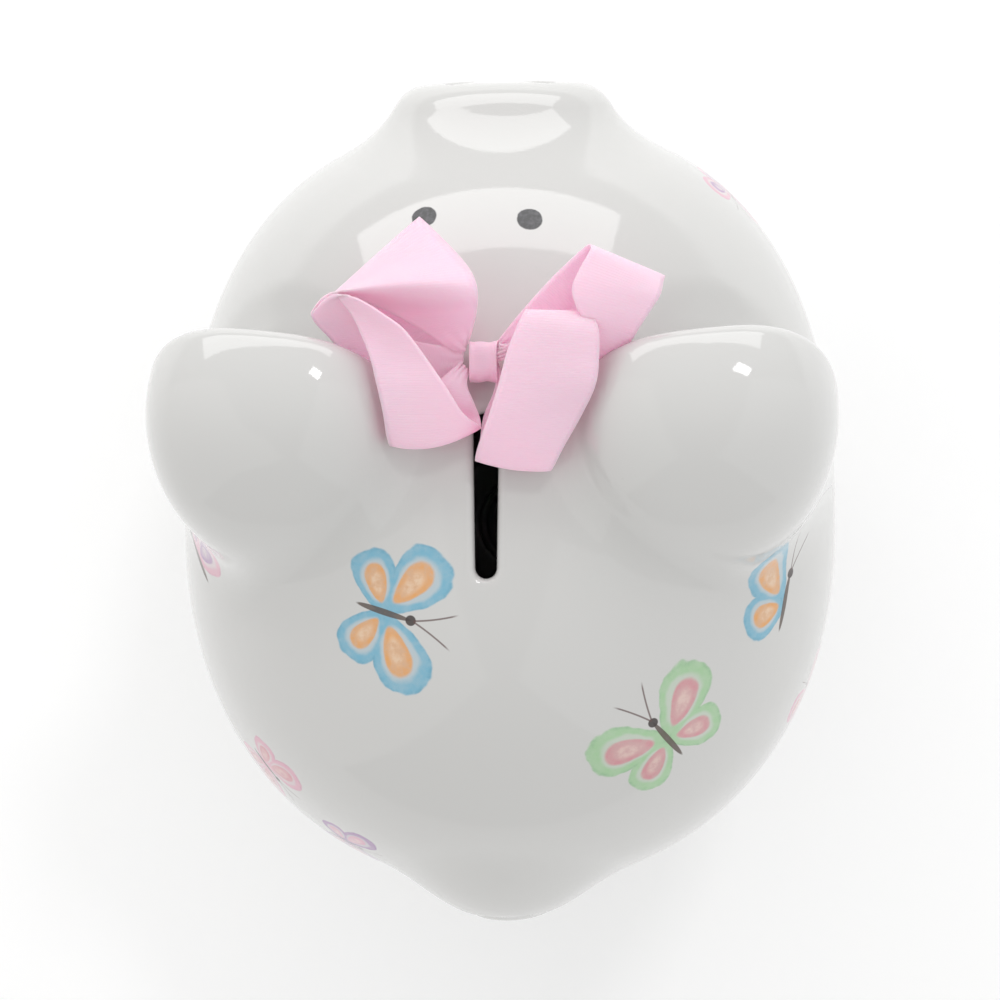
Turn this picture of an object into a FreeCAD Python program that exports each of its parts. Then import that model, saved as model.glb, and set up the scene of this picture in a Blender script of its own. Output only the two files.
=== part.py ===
import FreeCAD, Part
import math
import os

from FreeCAD import Matrix, Vector

# Ceramic piggy bank with a ribbon bow. Millimetres, +Z up.
# The snout points along -Y, the origin lies on the table under the middle of the bank.

# ---- driving dimensions -------------------------------------------------------------
BODY_Y = 7.0            # station of the widest section
BODY_Z = 98.0           # height of the body's long axis
HALF_WIDTH = 90.0
HALF_HEIGHT = 80.0
NOSE_LENGTH = 112.0     # widest section to the front end
NOSE_POWER = 2.45       # superellipse power: higher is blunter
RUMP_LENGTH = 99.5
RUMP_POWER = 2.15
WALL = 5.0              # thickness of the cast clay
PROFILE_STEPS = 36
SEAM_TURN = 45.0        # puts the surface's seam low on the flank, away from the cuts

SNOUT_TIP = (0.0, -111.5, 121.0)    # centre of the disc
SNOUT_TILT = 12.0       # degrees that the disc faces upwards
SNOUT_LENGTH = 28.0
SNOUT_TIP_RADII = (26.5, 20.5)
SNOUT_ROOT_RADII = (33.0, 31.0)
SNOUT_EDGE = 5.0        # rounding of the disc's rim
NOSTRIL_SPACING = 22.0
NOSTRIL_RADIUS = 3.2
NOSTRIL_RISE = 6.0      # nostrils above the disc's centre
NOSTRIL_DEPTH = 4.0

TAIL_CENTRE = (0.0, 89.17, 106.0)
TAIL_RADII = (27.0, 26.0, 30.0)

EAR_CENTRE = (54.0, -20.0, 150.0)
EAR_RADII = (32.0, 40.0, 47.0)
EAR_WALL = 7.0
EAR_MOUTH_TOP = (-41.5, 190.0)      # y, z of the mouth plane at the rim's crown
EAR_MOUTH_LEAN = 27.0               # degrees that the mouth overhangs forwards
EAR_MOUTH_TURN = 8.0                # degrees that it faces towards the other ear

FOOT_X = 42.0
FOOT_YS = (("front", -46.0), ("rear", 52.0))
FOOT_RADIUS = 15.5
FOOT_ROOT_RADIUS = 20.5
FOOT_ROOT_Z = 60.0
FOOT_EDGE = 3.0
FOOT_RECESS_RADIUS = 9.0
FOOT_RECESS_DEPTH = 2.5

SLOT_FRONT_Y = -21.0
SLOT_REAR_Y = 19.0
SLOT_FRONT_WIDTH = 6.2
SLOT_REAR_WIDTH = 5.2

HOLE_Y = 7.0            # belly hole for emptying the bank
HOLE_RADIUS = 14.3
SEAT_Z = 21.0
SEAT_RADIUS = 18.5
BOSS_RADIUS = 24.0
BOSS_BASE_Z = 22.5       # within the thickness of the wall
BOSS_TOP_Z = 27.0

PLUG_CLEARANCE = 0.06
PLUG_LENGTH = 9.5
PLUG_WALL = 2.2
FLANGE_RADIUS = 17.4
FLANGE_THICKNESS = 2.5
FLANGE_GAP = 0.05
TAB_LENGTH = 13.0
TAB_WIDTH = 3.2
TAB_DEPTH = 2.4

KNOT_Y = -33.0
KNOT_BASE_Z = 176.8     # top of the glue pad
GLUE_RADIUS = 6.5
BAND_LENGTH = 6.8       # along X
BAND_HALF_DEPTH = 5.0
BAND_HEIGHT = 8.0
BAND_THICKNESS = 0.6
THREAD_LENGTH = 1.8
THREAD_THICKNESS = 0.8
PINCH_HALF_DEPTH = 3.2
PINCH_HEIGHT = 2.6      # of each gathered ribbon inside the knot
PINCH_REACH = 9.0

# Each loop of ribbon as a plain tapered lobe: x, y and radius of its round end, then its top.
BACK_LOOPS = ((23.0, -50.0, 13.5, 194.0), (-28.5, -46.0, 12.0, 193.0))
FRONT_LOOPS = ((17.0, -24.0, 11.8, 191.0), (-15.2, -23.0, 12.0, 192.0))
LOOP_THROAT_RADIUS = 2.6
LOOP_FLOOR_Z = 150.0    # below the body's skin, which trims the lobes


# ---- helpers ------------------------------------------------------------------------
def scale_about(shape, centre, factors):
    """Scale a shape by a factor along each axis about a centre."""
    matrix = Matrix()
    matrix.move(Vector(*centre).negative())
    matrix.scale(*factors)
    matrix.move(Vector(*centre))
    return shape.transformGeometry(matrix)


def ellipsoid(centre, radii):
    """An ellipsoid given by its centre and radii along X, Y and Z."""
    shape = scale_about(Part.makeSphere(1.0), (0, 0, 0), radii)
    shape.translate(Vector(*centre))
    return shape


def tapered_bar(start, start_r, end, end_r, low, high):
    """Upright prism around two circles and the straight flanks that touch both."""
    line = Vector(end[0] - start[0], end[1] - start[1], 0)
    turn = math.degrees(math.atan2(line.y, line.x))
    lean = math.asin((start_r - end_r) / line.Length)

    def touch(x, radius, side):
        return Vector(x + radius * math.sin(lean), side * radius * math.cos(lean), low)

    near = [touch(0, start_r, side) for side in (-1, 1)]
    far = [touch(line.Length, end_r, side) for side in (-1, 1)]
    near_end = Part.Arc(near[0], Vector(-start_r, 0, low), near[1]).toShape()
    far_end = Part.Arc(far[1], Vector(line.Length + end_r, 0, low), far[0]).toShape()
    outline = Part.Wire([near_end, Part.makeLine(near[1], far[1]), far_end, Part.makeLine(far[0], near[0])])
    bar = Part.Face(outline).extrude(Vector(0, 0, high - low))
    bar.rotate(Vector(0, 0, 0), Vector(0, 0, 1), turn)
    bar.translate(Vector(start[0], start[1], 0))
    return bar


def box_about(centre, half):
    """A box given by its centre and half sizes."""
    corner = Vector(*[c - h for c, h in zip(centre, half)])
    return Part.makeBox(*[2 * h for h in half], corner)


def mirrored(shape):
    """The same shape on the other side of the plane x = 0."""
    return shape.mirror(Vector(0, 0, 0), Vector(1, 0, 0))


def save(shape, name):
    """Write one node."""
    shape.exportStep(f"parts/{name}.step")


# ---- the cast body ------------------------------------------------------------------
def egg_profile(inset):
    """Half outline of the body in the XY plane, from the nose's pole to the rump's."""
    points = []
    for step in range(PROFILE_STEPS + 1):
        angle = math.pi * step / PROFILE_STEPS
        front = step * 2 < PROFILE_STEPS
        power = NOSE_POWER if front else RUMP_POWER
        length = (NOSE_LENGTH if front else RUMP_LENGTH) - inset
        along = length * abs(math.cos(angle)) ** (2.0 / power)
        across = (HALF_WIDTH - inset) * abs(math.sin(angle)) ** (2.0 / power)
        points.append(Vector(across, BODY_Y + (-along if front else along), BODY_Z))
    points[-1].x = 0.0
    curve = Part.BSplineCurve()
    curve.interpolate(Points=points, InitialTangent=Vector(1, 0, 0), FinalTangent=Vector(-1, 0, 0))
    return curve.toShape(), points[0], points[-1]


def egg(inset=0.0):
    """The body's rounded solid, or the one inside it at a depth of inset."""
    outline, nose, rump = egg_profile(inset)
    face = Part.Face(Part.Wire([outline, Part.makeLine(rump, nose)]))
    face.rotate(nose, Vector(0, 1, 0), SEAM_TURN)
    round_body = face.revolve(nose, Vector(0, 1, 0), 360)
    squash = (HALF_HEIGHT - inset) / (HALF_WIDTH - inset)
    return scale_about(round_body, (0, 0, BODY_Z), (1, 1, squash))


def coin_slot():
    """Slot cutter with round ends, a little narrower at the rear."""
    front_r = SLOT_FRONT_WIDTH / 2
    rear_r = SLOT_REAR_WIDTH / 2
    front = (0, SLOT_FRONT_Y + front_r)
    rear = (0, SLOT_REAR_Y - rear_r)
    return tapered_bar(front, front_r, rear, rear_r, BODY_Z + HALF_HEIGHT / 2, BODY_Z + 2 * HALF_HEIGHT)


def body_shell(outer, inner):
    """Hollow casting with the coin slot and the belly hole."""
    boss = Part.makeCylinder(BOSS_RADIUS, BOSS_TOP_Z - BOSS_BASE_Z, Vector(0, HOLE_Y, BOSS_BASE_Z))
    shell = outer.cut(inner).fuse(boss)
    below = BODY_Z - HALF_HEIGHT - WALL
    shell = shell.cut(Part.makeCylinder(SEAT_RADIUS, SEAT_Z - below, Vector(0, HOLE_Y, below)))
    shell = shell.cut(Part.makeCylinder(HOLE_RADIUS, BODY_Z - below, Vector(0, HOLE_Y, below)))
    return shell.cut(coin_slot())


# ---- pieces luted on before glazing -------------------------------------------------
def tilted(shape):
    """Place a shape built along -Y from the origin on the snout's axis."""
    shape.rotate(Vector(0, 0, 0), Vector(1, 0, 0), -SNOUT_TILT)
    shape.translate(Vector(*SNOUT_TIP))
    return shape


def oval(radii, y):
    """An upright ellipse facing along Y."""
    wide, tall = radii
    ellipse = Part.Ellipse(Vector(wide, y, 0), Vector(0, y, tall), Vector(0, y, 0))
    return Part.Wire([ellipse.toShape()])


def nostrils():
    """Two blind holes in the snout's disc."""
    drills = []
    for side in (-1, 1):
        start = Vector(side * NOSTRIL_SPACING / 2, -1, NOSTRIL_RISE)
        drills.append(tilted(Part.makeCylinder(NOSTRIL_RADIUS, NOSTRIL_DEPTH + 1, start, Vector(0, 1, 0))))
    return drills


def snout(outer):
    """Tapered oval snout with a rounded rim and two blind nostrils."""
    root = oval(SNOUT_ROOT_RADII, SNOUT_LENGTH)
    tip = oval(SNOUT_TIP_RADII, 0)
    cone = Part.makeLoft([root, tip], True, True)
    rim = [e for e in cone.Edges if e.BoundBox.YMax < 0.1]
    shape = tilted(cone.makeFillet(SNOUT_EDGE, rim)).cut(outer)
    for drill in nostrils():
        shape = shape.cut(drill)
    return shape


def ear_solid():
    """Left ear's full dome, before the mouth and the hollow are cut."""
    return ellipsoid(EAR_CENTRE, EAR_RADII)


def ear(outer):
    """Left ear: a hood over a deep cup that opens forwards."""
    hollow = ellipsoid(EAR_CENTRE, [r - EAR_WALL for r in EAR_RADII])
    reach = 2 * max(EAR_RADII)
    mouth = Part.makeBox(2 * reach, reach, 2 * reach, Vector(-reach, -reach, -reach))
    mouth.rotate(Vector(0, 0, 0), Vector(1, 0, 0), EAR_MOUTH_LEAN)
    mouth.rotate(Vector(0, 0, 0), Vector(0, 0, 1), -EAR_MOUTH_TURN)
    mouth.translate(Vector(EAR_CENTRE[0], *EAR_MOUTH_TOP))
    return ear_solid().cut(outer).cut(hollow).cut(mouth)


def foot(x, y, outer):
    """A stubby foot that stands on a flat ring around a shallow recess."""
    cone = Part.makeCone(FOOT_RADIUS, FOOT_ROOT_RADIUS, FOOT_ROOT_Z, Vector(x, y, 0))
    rim = [e for e in cone.Edges if e.BoundBox.ZMax < 0.1]
    cone = cone.makeFillet(FOOT_EDGE, rim)
    recess = Part.makeCylinder(FOOT_RECESS_RADIUS, FOOT_RECESS_DEPTH, Vector(x, y, 0))
    return cone.cut(recess).cut(outer)


def tail(outer):
    """Broad rounded tail pressed on to the rump."""
    return ellipsoid(TAIL_CENTRE, TAIL_RADII).cut(outer)


# ---- rubber stopper -----------------------------------------------------------------
def stopper():
    """Flange, hollow plug and pull tab, moulded in one."""
    radius = HOLE_RADIUS - PLUG_CLEARANCE
    top = SEAT_Z - FLANGE_GAP
    bottom = top - FLANGE_THICKNESS
    flange = Part.makeCylinder(FLANGE_RADIUS, FLANGE_THICKNESS, Vector(0, HOLE_Y, bottom))
    plug = Part.makeCylinder(radius, PLUG_LENGTH, Vector(0, HOLE_Y, top))
    plug = plug.makeChamfer(0.8, [e for e in plug.Edges if e.BoundBox.ZMin > top + PLUG_LENGTH - 0.1])
    hollow = Part.makeCylinder(radius - PLUG_WALL, PLUG_LENGTH, Vector(0, HOLE_Y, top + PLUG_WALL))
    half = (TAB_LENGTH / 2, TAB_WIDTH / 2, TAB_DEPTH / 2 + 0.5)
    tab = box_about((0, HOLE_Y, bottom - TAB_DEPTH / 2 + 0.5), half)
    return flange.fuse(plug).cut(hollow).fuse(tab).removeSplitter()


# ---- ribbon bow ---------------------------------------------------------------------
def knot_box(length, half_depth, base_z, height):
    """A box centred on the knot, along X."""
    centre = (0, KNOT_Y, base_z + height / 2)
    return box_about(centre, (length / 2, half_depth, height / 2))


def knot_pieces():
    """The wrapped band, and the thread tie inside it that grips both ribbons."""
    thread_z = KNOT_BASE_Z + BAND_THICKNESS
    pinch_z = thread_z + THREAD_THICKNESS
    pinch_height = 2 * PINCH_HEIGHT
    thread_height = pinch_height + 2 * THREAD_THICKNESS
    thread_half = PINCH_HALF_DEPTH + THREAD_THICKNESS
    passage = knot_box(2 * BAND_LENGTH, thread_half, thread_z, thread_height)
    pinch = knot_box(2 * BAND_LENGTH, PINCH_HALF_DEPTH, pinch_z, pinch_height)
    band = knot_box(BAND_LENGTH, BAND_HALF_DEPTH, KNOT_BASE_Z, BAND_HEIGHT).cut(passage)
    thread = knot_box(THREAD_LENGTH, thread_half, thread_z, thread_height).cut(pinch)
    return band, thread


def gathered_middle(level):
    """The pinched stretch of a ribbon that runs through the knot; level 0 is the lower one."""
    base_z = KNOT_BASE_Z + BAND_THICKNESS + THREAD_THICKNESS + level * PINCH_HEIGHT
    return knot_box(2 * PINCH_REACH, PINCH_HALF_DEPTH, base_z, PINCH_HEIGHT)


def ribbon(lobes, middle, obstacles):
    """One length of ribbon: its two loops and the gathered middle that joins them."""
    shape = middle
    for end_x, end_y, end_r, top in lobes:
        throat = (math.copysign(BAND_LENGTH / 2, end_x), KNOT_Y)
        loop = tapered_bar(throat, LOOP_THROAT_RADIUS, (end_x, end_y), end_r, LOOP_FLOOR_Z, top)
        for obstacle in obstacles:
            loop = loop.cut(obstacle)
        shape = shape.fuse(loop)
    return shape


def make_parts():
    """Build and write every node."""
    outer = egg()
    inner = egg(WALL)
    save(body_shell(outer, inner), "body_shell")
    save(snout(outer), "snout")
    left_ear = ear(outer)
    save(left_ear, "ear_left")
    save(mirrored(left_ear), "ear_right")
    for end, y in FOOT_YS:
        save(foot(FOOT_X, y, outer), f"foot_{end}_left")
        save(foot(-FOOT_X, y, outer), f"foot_{end}_right")
    save(tail(outer), "tail")
    save(stopper(), "stopper")

    glue_height = KNOT_BASE_Z - BODY_Z
    glue = Part.makeCylinder(GLUE_RADIUS, glue_height, Vector(0, KNOT_Y, BODY_Z)).cut(outer)
    band, thread = knot_pieces()
    knot_room = knot_box(BAND_LENGTH, BAND_HALF_DEPTH, BODY_Z, HALF_WIDTH + HALF_HEIGHT)
    around = [outer, ear_solid(), mirrored(ear_solid()), knot_room, glue]
    back_middle = gathered_middle(1)
    front = ribbon(FRONT_LOOPS, gathered_middle(0), around + [back_middle])
    back = ribbon(BACK_LOOPS, back_middle, around + [front])
    save(front, "bow_front_ribbon")
    save(back, "bow_back_ribbon")
    save(band, "bow_knot_band")
    save(thread, "bow_tie_thread")
    save(glue, "bow_glue_pad")


os.makedirs("parts", exist_ok=True)
make_parts()
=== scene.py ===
import math

import bmesh
import bpy
import numpy as np
from mathutils import Matrix, Vector


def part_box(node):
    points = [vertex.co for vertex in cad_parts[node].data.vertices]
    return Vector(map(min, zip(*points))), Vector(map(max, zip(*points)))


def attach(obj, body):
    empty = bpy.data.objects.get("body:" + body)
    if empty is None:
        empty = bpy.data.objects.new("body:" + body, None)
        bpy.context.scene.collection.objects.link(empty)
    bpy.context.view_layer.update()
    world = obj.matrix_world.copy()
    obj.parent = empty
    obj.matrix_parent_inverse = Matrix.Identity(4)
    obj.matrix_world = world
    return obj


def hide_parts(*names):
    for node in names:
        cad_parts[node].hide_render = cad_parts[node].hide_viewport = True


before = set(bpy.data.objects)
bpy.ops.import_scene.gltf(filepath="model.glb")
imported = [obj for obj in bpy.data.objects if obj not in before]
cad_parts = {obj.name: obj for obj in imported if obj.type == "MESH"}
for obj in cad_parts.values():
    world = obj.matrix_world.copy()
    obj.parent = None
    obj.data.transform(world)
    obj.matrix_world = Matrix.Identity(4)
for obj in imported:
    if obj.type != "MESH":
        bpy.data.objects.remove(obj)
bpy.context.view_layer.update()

# The looks of a hand-painted ceramic piggy bank with a ribbon bow. Shapes are worked out in
# millimetres in the part's own frame and written to the meshes in metres. The snout points along
# -Y and +X is the pig's left.

MM = 0.001


def box_mm(node):
    """Lowest and highest corner of a CAD node in millimetres."""
    low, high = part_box(node)
    return np.array(low) / MM, np.array(high) / MM


# ---- driving dimensions: places and outer sizes come from the frame ---------------------
SHELL_LOW, SHELL_HIGH = box_mm("body_shell")
SNOUT_LOW, _ = box_mm("snout")
EAR_LOW, EAR_HIGH = box_mm("ear_left")
_, TAIL_HIGH = box_mm("tail")
STOPPER_LOW, STOPPER_HIGH = box_mm("stopper")
KNOT_LOW, KNOT_HIGH = box_mm("bow_knot_band")

WALL = 5.0
HALF_WIDTH = (SHELL_HIGH[0] - SHELL_LOW[0]) / 2
HALF_HEIGHT = 80.0
RUMP_LENGTH = 99.5
RUMP_POWER = 2.15
NOSE_LENGTH = 112.0
NOSE_POWER = 2.45
BODY_Y = SHELL_HIGH[1] - RUMP_LENGTH
BODY_Z = SHELL_HIGH[2] - HALF_HEIGHT

SNOUT_TIP_Y = SNOUT_LOW[1] + 3.65        # centre of the disc, which leans back at the top
SNOUT_Z = 123.5
SNOUT_TILT = math.radians(12.0)
SNOUT_HALF_WIDTH = 26.4
SNOUT_HALF_HEIGHT = 19.0
SNOUT_FLARE = 0.22       # growth of both for each millimetre behind the disc
SNOUT_LENGTH = 40.0      # with the part that is sunk into the body
SNOUT_DOME = 0.0012      # how quickly the disc falls away from its middle
NOSTRIL = np.array([11.0, SNOUT_TIP_Y + 1.4, SNOUT_Z + 6.5])
NOSTRIL_RADII = np.array([3.2, 4.2, 4.2])

EAR_RADII = np.array([34.0, 40.0, 47.0])
EAR_CENTRE = EAR_HIGH - EAR_RADII
EAR_POWER = 2.8          # squarer than an ellipse across the hood
EAR_WALL = 7.0
EAR_MOUTH_Y = -41.5
EAR_MOUTH_Z = 190.0
EAR_MOUTH_LEAN = math.radians(27.0)
EAR_MOUTH_TURN = math.radians(8.0)       # faces a little towards the other ear

TAIL_RADII = np.array([27.0, 26.0, 30.0])
TAIL_CENTRE = np.array([0.0, TAIL_HIGH[1] - TAIL_RADII[1], 106.0])
CURL_PITCH = 8.5
CURL_INNER_RADIUS = 2.5
CURL_OUTER_RADIUS = 15.0
CURL_HALF_WIDTH = 1.5
CURL_DEPTH = 0.9

FOOT_NODES = ("foot_front_left", "foot_front_right", "foot_rear_left", "foot_rear_right")
FOOT_RADIUS = 15.3       # at the floor
FOOT_TAPER = 0.083       # growth of the radius for each millimetre above it
FOOT_TOP = 70.0          # inside the body
RECESS_RADIUS = 9.0
RECESS_DEPTH = 2.5

SLOT_FRONT_Y = -17.9     # middles of the slot's two round ends
SLOT_REAR_Y = 16.4
SLOT_HALF_WIDTH = 3.1
SLOT_NARROWING = 0.5     # of the half width, from front to rear
SLOT_FLOOR = BODY_Z + 40.0

HOLE_Y = (STOPPER_LOW[1] + STOPPER_HIGH[1]) / 2
HOLE_RADIUS = 14.3
HOLE_TOP = 60.0          # inside the cavity
SEAT_RADIUS = 18.5
SEAT_Z = 21.0
BOSS_RADIUS = 24.0       # thicker clay round the belly hole
BOSS_TOP = 27.0


# ---- distance fields ------------------------------------------------------------------
def smooth_min(a, b, radius):
    """Union of two fields with a fillet of about that radius."""
    h = np.clip(0.5 + 0.5 * (b - a) / radius, 0.0, 1.0)
    return b + (a - b) * h - radius * h * (1.0 - h)


def smooth_max(a, b, radius):
    """Intersection of two fields with a rounded edge."""
    return -smooth_min(-a, -b, radius)


def ellipsoid(p, centre, radii):
    """Nearly the distance to an ellipsoid."""
    q = (p - centre) / radii
    level = np.sqrt((q * q).sum(axis=1)) + 1e-9
    slope = np.sqrt(((q / radii) ** 2).sum(axis=1)) + 1e-9
    return level * (level - 1.0) / slope


def egg(p, inset=0.0):
    """The body's rounded solid; inset gives the cavity inside its wall."""
    across = HALF_WIDTH - inset
    height = HALF_HEIGHT - inset
    dy = p[:, 1] - BODY_Y
    front = dy < 0
    power = np.where(front, NOSE_POWER, RUMP_POWER)
    length = np.where(front, NOSE_LENGTH, RUMP_LENGTH) - inset
    dz = (p[:, 2] - BODY_Z) * across / height
    ring = np.sqrt(p[:, 0] ** 2 + dz ** 2) + 1e-6
    a = np.abs(dy) / length + 1e-9
    b = ring / across
    level = (a ** power + b ** power) ** (1.0 / power)
    ring_slope = np.sqrt(p[:, 0] ** 2 + (dz * across / height) ** 2) / (ring * across)
    slope_a = (a / level) ** (power - 1.0) / length
    slope_b = (b / level) ** (power - 1.0) * ring_slope
    return (level - 1.0) / (np.sqrt(slope_a ** 2 + slope_b ** 2) + 1e-6)


def snout(p):
    """Short flared oval that ends in a slightly domed disc with a rounded rim."""
    dy = p[:, 1] - SNOUT_TIP_Y
    dz = p[:, 2] - SNOUT_Z
    ahead = dz * math.sin(SNOUT_TILT) - dy * math.cos(SNOUT_TILT)
    rise = dy * math.sin(SNOUT_TILT) + dz * math.cos(SNOUT_TILT)
    back = np.clip(-ahead, 0.0, SNOUT_LENGTH - 5.0)
    wide = SNOUT_HALF_WIDTH + SNOUT_FLARE * back
    tall = SNOUT_HALF_HEIGHT + SNOUT_FLARE * back
    ring = np.sqrt((p[:, 0] / wide) ** 2 + (rise / tall) ** 2) + 1e-6
    slope = np.sqrt((p[:, 0] / wide ** 2) ** 2 + (rise / tall ** 2) ** 2) + 1e-6
    flank = (ring - 1.0) * ring / slope
    dome = SNOUT_DOME * (p[:, 0] ** 2 + rise ** 2)
    return smooth_max(smooth_max(flank, ahead + dome, 7.0), -ahead - SNOUT_LENGTH, 2.0)


def left_side(p):
    """Points folded on to the pig's left, so that one ear and one nostril do for both."""
    q = p.copy()
    q[:, 0] = np.abs(q[:, 0])
    return q


def ear_mouth(q):
    """Signed distance in front of the plane that the hood opens on."""
    ahead = math.cos(EAR_MOUTH_TURN) * (q[:, 1] - EAR_MOUTH_Y)
    ahead += math.sin(EAR_MOUTH_TURN) * (q[:, 0] - EAR_CENTRE[0])
    return -ahead * math.cos(EAR_MOUTH_LEAN) - (q[:, 2] - EAR_MOUTH_Z) * math.sin(EAR_MOUTH_LEAN)


def ear_form(q, radii):
    """Nearly the distance to the hood's full form, an ellipsoid with squarer shoulders."""
    x, y, z = (np.abs((q - EAR_CENTRE) / radii) + 1e-6).T
    section = (x ** EAR_POWER + z ** EAR_POWER) ** (1.0 / EAR_POWER)
    level = np.hypot(section, y)
    share = section / level
    slope_x = share * (x / section) ** (EAR_POWER - 1.0) / radii[0]
    slope_z = share * (z / section) ** (EAR_POWER - 1.0) / radii[2]
    return (level - 1.0) / np.sqrt(slope_x ** 2 + slope_z ** 2 + (y / level / radii[1]) ** 2)


def ear_dome(q):
    """Outside of the hood, cut by its forward-leaning mouth."""
    return smooth_max(ear_form(q, EAR_RADII), ear_mouth(q), 5.0)


def ear_cup(q, body):
    """Hollow under the hood, down to the skin of the body."""
    return smooth_max(ear_form(q, EAR_RADII - EAR_WALL), -body, 9.0)


def box_middle(node):
    """Middle of a CAD node in plan."""
    low, high = box_mm(node)
    return (low[0] + high[0]) / 2, (low[1] + high[1]) / 2


FOOT_PLACES = {node: box_middle(node) for node in FOOT_NODES}


def foot(p, node):
    """Stubby tapered foot with a shallow recess inside its standing ring."""
    x, y = FOOT_PLACES[node]
    ring = np.hypot(p[:, 0] - x, p[:, 1] - y)
    flank = ring - (FOOT_RADIUS + FOOT_TAPER * p[:, 2])
    solid = smooth_max(smooth_max(flank, -p[:, 2], 5.0), p[:, 2] - FOOT_TOP, 1.0)
    recess = smooth_max(ring - RECESS_RADIUS, p[:, 2] - RECESS_DEPTH, 2.0)
    return smooth_max(solid, -recess, 1.5)


def slot(p):
    """Coin slot: an upright bar with round ends, a little narrower at the rear."""
    length = SLOT_REAR_Y - SLOT_FRONT_Y
    along = np.clip((p[:, 1] - SLOT_FRONT_Y) / length, 0.0, 1.0)
    nearest = SLOT_FRONT_Y + along * length
    bar = np.hypot(p[:, 0], p[:, 1] - nearest) - (SLOT_HALF_WIDTH - SLOT_NARROWING * along)
    return smooth_max(bar, SLOT_FLOOR - p[:, 2], 1.0)


def nostrils(p):
    """Two oval dimples in the snout's disc."""
    return ellipsoid(left_side(p), NOSTRIL, NOSTRIL_RADII)


def tail_curl(p):
    """Groove pressed into the rump's knob to show the tail's curl: one turn of a spiral."""
    dx = p[:, 0]
    dz = p[:, 2] - TAIL_CENTRE[2]
    radius = np.hypot(dx, dz)
    turn = np.arctan2(dz, dx) / (2 * math.pi)
    lap = (radius - 2.0) / CURL_PITCH - turn
    off = (lap - np.round(lap)) * CURL_PITCH
    near = np.exp(-(off / CURL_HALF_WIDTH) ** 2)
    fade = np.clip((CURL_OUTER_RADIUS - radius) / 3.0, 0.0, 1.0)
    fade = fade * np.clip((radius - CURL_INNER_RADIUS) / 2.0, 0.0, 1.0)
    return CURL_DEPTH * near * fade * (p[:, 1] > TAIL_CENTRE[1])


SNOUT_FILLET = 14.0
TAIL_FILLET = 10.0
FOOT_FILLET = 8.0
EAR_FILLET = 12.0


def ceramic(p):
    """The whole fired piece: shell, snout, ears, feet and tail fused under one glaze."""
    body = smooth_min(egg(p), snout(p), SNOUT_FILLET)
    body = smooth_min(body, ellipsoid(p, TAIL_CENTRE, TAIL_RADII), TAIL_FILLET)
    body = body + tail_curl(p)
    for node in FOOT_NODES:
        body = smooth_min(body, foot(p, node), FOOT_FILLET)
    q = left_side(p)
    skin = smooth_min(body, ear_dome(q), EAR_FILLET)
    skin = smooth_max(skin, -ear_cup(q, body), 4.0)
    skin = smooth_max(skin, -nostrils(p), 1.5)
    hollow = egg(p, WALL)
    ring = np.hypot(p[:, 0], p[:, 1] - HOLE_Y)
    boss = smooth_max(ring - BOSS_RADIUS, p[:, 2] - BOSS_TOP, 2.0)
    hollow = smooth_max(hollow, -boss, 3.0)
    skin = smooth_max(skin, -hollow, 2.0)
    skin = smooth_max(skin, -slot(p), 2.4)
    seat = smooth_max(ring - SEAT_RADIUS, p[:, 2] - SEAT_Z, 0.6)
    bore = smooth_max(ring - HOLE_RADIUS, p[:, 2] - HOLE_TOP, 1.0)
    return smooth_max(smooth_max(skin, -seat, 1.2), -bore, 1.0)


# ---- meshing --------------------------------------------------------------------------
def grid_field(field, low, high, step):
    """Field values at the corners of a regular grid, one slab at a time."""
    counts = np.ceil((high - low) / step).astype(int) + 1
    xs, ys, zs = [low[i] + step * np.arange(counts[i]) for i in range(3)]
    values = np.empty(tuple(counts))
    flat = np.stack(np.meshgrid(ys, zs, indexing="ij"), axis=-1).reshape(-1, 2)
    slab = np.empty((len(flat), 3))
    slab[:, 1:] = flat
    for i, x in enumerate(xs):
        slab[:, 0] = x
        values[i] = field(slab).reshape(counts[1], counts[2])
    return values


def surface_net(values, low, step):
    """Quads over the zero level of a grid: one vertex in each cell that the surface crosses."""
    cells = tuple(n - 1 for n in values.shape)
    total = np.zeros(cells + (3,))
    hits = np.zeros(cells)
    inside = values < 0
    crossings = []
    for axis in range(3):
        lower = [slice(None)] * 3
        upper = [slice(None)] * 3
        lower[axis] = slice(0, -1)
        upper[axis] = slice(1, None)
        a, b = values[tuple(lower)], values[tuple(upper)]
        cross = inside[tuple(lower)] != inside[tuple(upper)]
        where = np.argwhere(cross)
        a, b = a[cross], b[cross]
        points = where.astype(float)
        points[:, axis] += a / (a - b)
        others = [k for k in range(3) if k != axis]
        ring = []
        for du, dv in ((0, 0), (-1, 0), (-1, -1), (0, -1)):
            cell = where.copy()
            cell[:, others[0]] += du
            cell[:, others[1]] += dv
            ring.append(cell)
            good = np.all((cell >= 0) & (cell < cells), axis=1)
            index = tuple(cell[good].T)
            np.add.at(total, index, points[good])
            np.add.at(hits, index, 1.0)
        crossings.append((ring, a < 0, axis))
    used = hits > 0
    number = np.full(cells, -1)
    number[used] = np.arange(used.sum())
    points = low + step * total[used] / hits[used][:, None]
    faces = []
    for ring, starts_inside, axis in crossings:
        corners = np.stack([number[tuple(cell.T)] for cell in ring], axis=1)
        flip = starts_inside == (axis == 1)
        corners[flip] = corners[flip][:, ::-1]
        faces.append(corners)
    return points, np.concatenate(faces)


def gradient(field, points, reach=0.05):
    """Value and slope of the field."""
    here = field(points)
    slope = np.empty_like(points)
    for axis in range(3):
        offset = np.zeros(3)
        offset[axis] = reach
        slope[:, axis] = (field(points + offset) - here) / reach
    return here, slope


def settle(field, points, rounds=2):
    """Move points along the field's slope on to its zero level."""
    for _ in range(rounds):
        value, slope = gradient(field, points)
        size = (slope ** 2).sum(axis=1) + 1e-6
        points = points - slope * np.clip(value / size, -1.0, 1.0)[:, None]
    return points


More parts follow.
